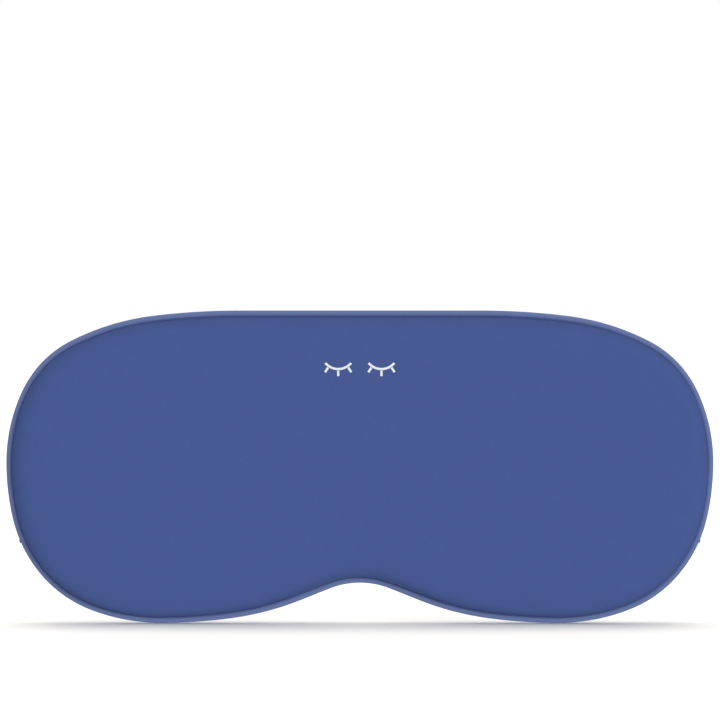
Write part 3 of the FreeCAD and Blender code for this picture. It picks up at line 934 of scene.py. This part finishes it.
def rounded_plate(name, low, high, radius, bevel):
    """A thin plate across Y with rounded corners and softened edges."""
    outline_points = []
    x0, x1, z0, z1 = low[0] + radius, high[0] - radius, low[2] + radius, high[2] - radius
    for quarter, (cx, cz) in enumerate(((x1, z1), (x0, z1), (x0, z0), (x1, z0))):
        for step in range(7):
            angle = math.radians(90 * quarter + 15 * step)
            outline_points.append((cx + radius * math.cos(angle), cz + radius * math.sin(angle)))
    count = len(outline_points)
    middle_x, middle_z = (low[0] + high[0]) / 2, (low[2] + high[2]) / 2
    points, faces = [], []
    layers = [(bevel, low[1]), (0.0, low[1] + bevel), (0.0, high[1] - bevel), (bevel, high[1])]
    for inset, y in layers:
        for x, z in outline_points:
            dx, dz = math.copysign(inset, x - middle_x), math.copysign(inset, z - middle_z)
            points.append((x - dx, y, z - dz))
    for layer in range(len(layers) - 1):
        faces += band(layer * count, (layer + 1) * count, count)
    faces.append(tuple(range(count)))
    faces.append(tuple(range((len(layers) - 1) * count, len(layers) * count))[::-1])
    piece = outward(mesh_object(name, points, faces))
    piece.data.set_sharp_from_angle(angle=math.radians(40))
    return piece


# ----- closure patches

GROUND_THICK = 0.42
PATCH_ROUND = 2.0  # corners of each patch
PATCH_SEWN = 1.5  # patch edge to its stitches

def patch_ground(node, out, finish, body):
    """A patch's woven ground; out is 1 where the patch looks along +Y. Also returns its face's y."""
    low, high = millimetre_box(node)
    face = low[1] + GROUND_THICK if out > 0 else high[1] - GROUND_THICK
    (low if out < 0 else high)[1] = face
    piece = rounded_plate(node.replace("patch", "ground"), low, high, PATCH_ROUND, 0.12)
    piece.data.materials.append(finish)
    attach(piece, body)
    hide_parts(node)
    return face


def patch_field(node, margin, y):
    """Inputs that lay a rectangle of hooks or loops on a patch at y."""
    low, high = millimetre_box(node)
    across, along = high[0] - low[0] - 2 * margin, high[2] - low[2] - 2 * margin
    middle = ((low[0] + high[0]) / 2 * MM, y * MM, (low[2] + high[2]) / 2 * MM)
    return {"Across": across * MM, "Along": along * MM, "Place": middle}


def patch_stitches(node, face, back, stitching, thread, body, seed):
    """One line of stitches on the patch's face and one on the far side of the strap."""
    low, high = millimetre_box(node)
    x0, x1 = low[0] + PATCH_SEWN, high[0] - PATCH_SEWN
    z0, z1 = low[2] + PATCH_SEWN, high[2] - PATCH_SEWN
    loops = [(rectangle(x0, x1, z0, z1, y), True) for y in (face, back)]
    sewn(node.replace("patch", "stitches"), stitching, loops, thread, body, seed=seed)


def hook_patch(looks, stitching):
    high = millimetre_box("hook_patch")[1]
    face = patch_ground("hook_patch", 1, looks["hook_base"], "right_far")
    values = patch_field("hook_patch", 3.0, face - 0.03)
    values |= {"Pitch": 0.00125, "Hook Height": (high[1] - face - 0.05) * MM / 1.02, "Filament": 0.00009}
    values |= {"Seed": 3, "Turn": (-math.pi / 2, 0.0, 0.0), "Nylon": looks["hook"]}
    hooks = grown("hook_rows", bpy.data.meshes.new("hook_rows"), hooks_tree(), values)
    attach(hooks, "right_far")
    back = millimetre_box("right_strap_far")[0][1] - 0.02
    patch_stitches("hook_patch", face + 0.06, back, stitching, looks["thread"], "right_far", 4)


def loop_patch(looks, stitching):
    face = patch_ground("loop_patch", -1, looks["loop"], "left_far")
    values = patch_field("loop_patch", 1.2, face - 0.2)
    values |= {"Density": 1.1e6, "Loop Radius": 0.0003, "Filament": 0.00004}
    values |= {"Seed": 7, "Turn": (math.pi / 2, 0.0, 0.0), "Yarn": looks["loop"]}
    loops = grown("loop_pile", bpy.data.meshes.new("loop_pile"), loops_tree(), values)
    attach(loops, "left_far")
    back = millimetre_box("left_strap_far")[1][1] + 0.02
    patch_stitches("loop_patch", face - 0.06, back, stitching, looks["thread"], "left_far", 5)


def tab_stitches(looks, stitching):
    """A box with crossed diagonals through each tab."""
    lines = []
    for side in ("left", "right"):
        low, high = millimetre_box(f"{side}_strap_tab")
        x0, x1, z0, z1 = low[0] + 2.5, high[0] - 2.5, low[2] + 2.5, high[2] - 2.5
        y = high[1] + 0.03
        lines.append((rectangle(x0, x1, z0, z1, y), True))
        lines.append(([(x0, y, z0), (x1, y, z1)], False))
        lines.append(([(x0, y, z1), (x1, y, z0)], False))
    return sewn("tab_stitches", stitching, lines, looks["thread"], "pad", seed=6)


# ----- label and print

LABEL_FLAT = (0.020, 0.0152)  # in metres


def care_label(looks, stitching, back_tree):
    """A blank satin label, sewn along its top edge, that lifts a little at its free end."""
    low, high = millimetre_box("care_label")
    across, down, thick = 24, 20, 0.22
    width, drop = LABEL_FLAT
    layers = []
    for lift in (0.0, thick):
        rows = []
        for row in range(down + 1):
            part = row / down
            z = high[2] + (low[2] - high[2]) * part
            for column in range(across + 1):
                u = column / across
                x = low[0] + (high[0] - low[0]) * u
                rest = height_on(back_tree, x, min(z, high[2] - 0.5), 1)
                wave = 0.22 * math.sin(math.pi * u * 1.6 + 0.6)
                free = 0.75 * smooth(0.25, 1.0, part) + wave * smooth(0.2, 1.0, part)
                selvage = 0.05 if column in (0, 1, across - 1, across) else 0.0
                rows.append((x, rest + 0.08 + free + (lift + selvage if lift else -selvage), z))
        layers.append(rows)
    count = (across + 1) * (down + 1)
    points, faces = layers[0] + layers[1], []
    wide = across + 1

    def spot(index):
        column, row = index % count % wide, index % count // wide
        return (column / across * width, -row / down * drop)

    for row in range(down):
        for column in range(across):
            a = row * wide + column
            faces.append((a, a + 1, a + wide + 1, a + wide))
            faces.append(tuple(count + i for i in (a + wide, a + wide + 1, a + 1, a)))
    border = list(range(across))
    border += [row * wide + across for row in range(down)]
    border += [down * wide + column for column in range(across, 0, -1)]
    border += [row * wide for row in range(down, 0, -1)]
    for step, a in enumerate(border):
        b = border[(step + 1) % len(border)]
        faces.append((b, a, count + a, count + b))
    uv = [[spot(i) for i in face] for face in faces]
    label = outward(mesh_object("care_label_satin", points, faces, uv))
    subdivide(label)
    finished(label, sharp=50)
    dress(label, looks["label"])
    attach(label, "pad")
    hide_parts("care_label")
    z = high[2] - 1.3
    places = np.linspace(low[0] + 0.8, high[0] - 0.8, 9)
    line = [(x, height_on(back_tree, x, z, 1) + thick + 0.12, z) for x in places]
    thread = looks["label_thread"]
    stitches = sewn("label_stitches", stitching, [(line, False)], thread, "pad", 1.9, 1.6, 0.26, 8)
    return label


def closed_eyes(looks, front_tree):
    """The printed motif, laid on the crowned front."""
    source = frame["nodes"]["front_motif"].data.copy()
    work = bmesh.new()
    work.from_mesh(source)
    bmesh.ops.remove_doubles(work, verts=work.verts, dist=1e-6)
    bmesh.ops.dissolve_limit(work, angle_limit=math.radians(1), verts=work.verts, edges=work.edges)
    long_edges = [e for e in work.edges if e.calc_length() > 0.0009]
    bmesh.ops.subdivide_edges(work, edges=long_edges, cuts=3)
    bmesh.ops.triangulate(work, faces=work.faces)
    low, high = millimetre_box("front_motif")
    middle = (low[1] + high[1]) / 2
    for corner in work.verts:
        x, y, z = (value / MM for value in corner.co)
        face = height_on(front_tree, x, z, -1)
        corner.co.y = (face + (0.05 if y > middle else -0.09)) * MM
    bmesh.ops.recalc_face_normals(work, faces=work.faces)
    work.to_mesh(source)
    work.free()
    piece = new_object("closed_eyes_print", source)
    source.name = piece.name
    dress(piece, looks["print"])
    source.set_sharp_from_angle(angle=math.radians(35))
    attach(piece, "pad")
    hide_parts("front_motif")
    return piece


# ----- assembly


def pillow():
    looks = finishes()
    stitching = stitching_tree()
    front, back = pad_panels()
    for piece, node in ((front, "front_panel"), (back, "back_panel")):
        dress(piece, looks["cover"])
        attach(piece, "pad")
        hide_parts(node)
    edge = piping()
    edge.data.materials.append(looks["piping"])
    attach(edge, "pad")
    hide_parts("piping_cover")
    front_tree, back_tree = surface_tree(front), surface_tree(back)
    closed_eyes(looks, front_tree)
    care_label(looks, stitching, back_tree)
    for side in ("left", "right"):
        for piece in strap_half(side):
            piece.data.materials.append(looks["elastic"])
    tab_stitches(looks, stitching)
    hook_patch(looks, stitching)
    loop_patch(looks, stitching)
    inside = {"piping_cord": "filler", "front_wadding": "wadding", "back_wadding": "wadding"}
    inside |= {"blackout_layer": "blackout", "pouch_front_sheet": "pouch", "pouch_back_sheet": "pouch"}
    inside |= {f"bead_fill_{number}": "beads" for number in range(1, 9)}
    for node, look in inside.items():
        dress(frame["nodes"][node], looks[look])


# ----- floor, light and camera

VIEW_WIDTH = 0.22403  # width of the view at the piping, in metres
CAMERA_DISTANCE = 1.5
CAMERA_HEIGHT = 0.0332
AMBIENT = 0.55  # light from all round, beside which the backdrop itself is white
FLOOR_DARK, FLOOR_LIGHT = (0.925, 0.905, 0.865, 1.0), (0.935, 0.915, 0.875, 1.0)


def floor():
    mesh = bpy.data.meshes.new("floor")
    size, level = 40.0, PAD_LOW[2] * MM - 0.0001
    corners = [(x * size, z * size, level) for x, z in ((-1, -1), (1, -1), (1, 1), (-1, 1))]
    mesh.from_pydata(corners, [], [(0, 1, 2, 3)])
    ground = new_object("floor", mesh)
    finish = Finish("pale_floor", 0.9, 0.1)
    finish.tint(FLOOR_DARK, FLOOR_LIGHT, finish.noise(0.4))
    mesh.materials.append(finish.material)
    return ground


def sun(name, towards, share, spread, only=None):
    """A wide soft sun seen towards a direction; share is the light that it adds to white card facing it."""
    light = bpy.data.lights.new(name, "SUN")
    light.energy, light.angle = share * math.pi, math.radians(spread)
    lamp = new_object(name, light)
    lamp.rotation_euler = Vector(towards).to_track_quat("Z", "Y").to_euler()
    if only is not None:
        lit = bpy.data.collections.new(f"{name}_lights")
        lit.objects.link(only)
        lamp.light_linking.receiver_collection = lit


def studio(ground):
    scene = bpy.context.scene
    scene.view_settings.view_transform = "Standard"
    world = bpy.data.worlds.new("studio")
    scene.world = world
    world.use_nodes = True
    graph = Graph(world.node_tree)
    sky = world.node_tree.nodes["Background"]
    sky.inputs["Color"].default_value = (1.0, 1.0, 1.0, 1.0)
    seen = graph.add("ShaderNodeLightPath").outputs["Is Camera Ray"]
    level = graph.add("ShaderNodeMapRange", {"Value": seen, "To Min": AMBIENT, "To Max": 1.0}).outputs[0]
    world.node_tree.links.new(level, sky.inputs["Strength"])
    sun("key", (0.4, -0.9, 0.08), 0.57, 40)
    sun("back_fill", (-0.08, 0.85, 0.5), 0.23, 50)
    sun("floor_light", (0.0, 0.24, 1.0), 0.54, 44, only=ground)
    sun("floor_sky", (0.0, 0.0, 1.0), 0.06, 110, only=ground)
    ground.visible_diffuse = False


def camera():
    view = bpy.data.cameras.new("camera")
    view.sensor_width = 36
    view.lens = 36 * CAMERA_DISTANCE / VIEW_WIDTH
    view.clip_end = 100
    eye = new_object("camera", view)
    eye.location = (0.00005, SEAM_Y * MM - CAMERA_DISTANCE, CAMERA_HEIGHT)
    eye.rotation_euler = (math.pi / 2, 0, 0)
    bpy.context.scene.camera = eye


camera()
pillow()
studio(floor())
